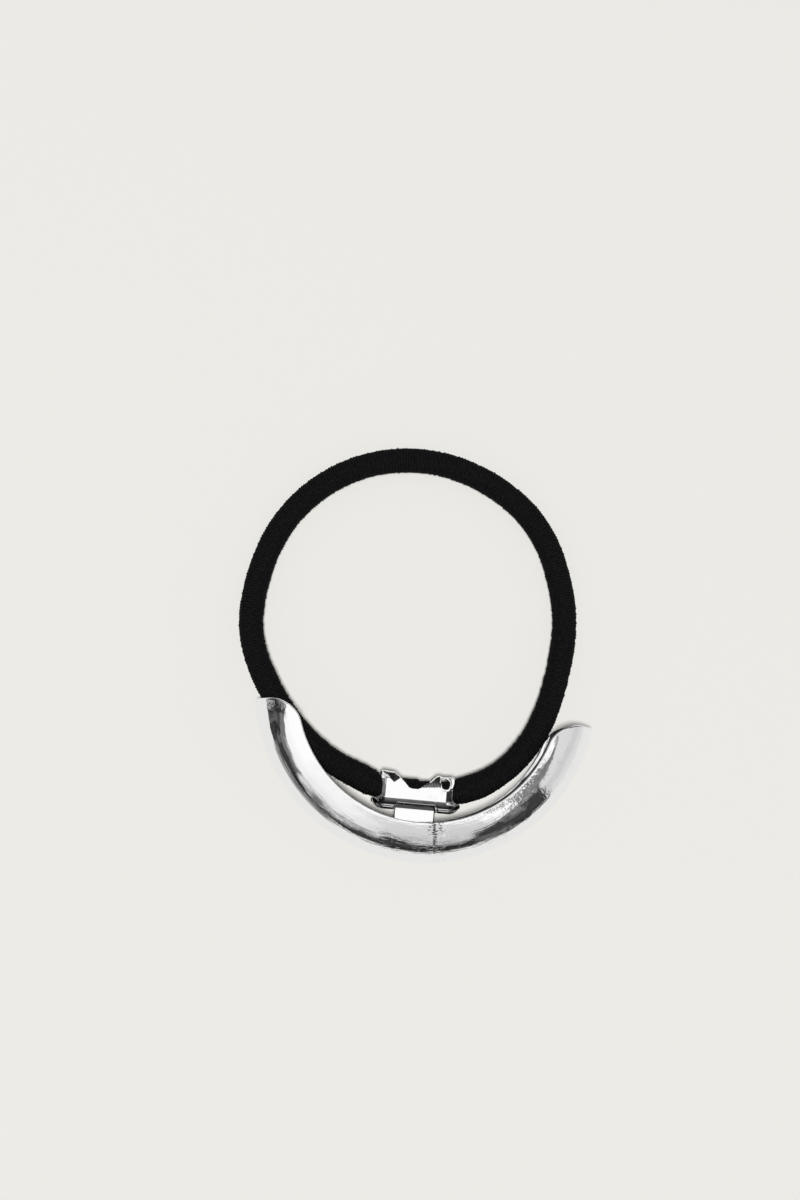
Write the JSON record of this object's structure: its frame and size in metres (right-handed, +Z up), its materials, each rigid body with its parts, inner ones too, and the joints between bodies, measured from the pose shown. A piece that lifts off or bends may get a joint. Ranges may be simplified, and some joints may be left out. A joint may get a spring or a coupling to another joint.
{
  "type": "ponytail cuff",
  "caption": "Polished C-shaped half-round metal cuff that covers the base of a ponytail, held on by a round elastic loop crimped in a clamp behind it.",
  "frame": {"origin": "centre of the cuff's arc, on the surface that the cuff lies on", "axes": "+Z up along the arc's axis, +X along the chord between the cuff's ends, +Y from the cuff towards the far side of the elastic loop"},
  "size_m": [0.0581, 0.0665, 0.0131],
  "materials": {
    "polished_metal": "mirror polished silver-coloured plating",
    "clamp_metal": "polished plating, creased and grooved where it was crimped",
    "knitted_elastic": "matt black knitted cover with fine rings round a rubber core"
  },
  "bodies": {
    "root": {"cuff": "polished_metal", "clamp": "clamp_metal", "elastic": "knitted_elastic"}
  },
  "joints": []
}
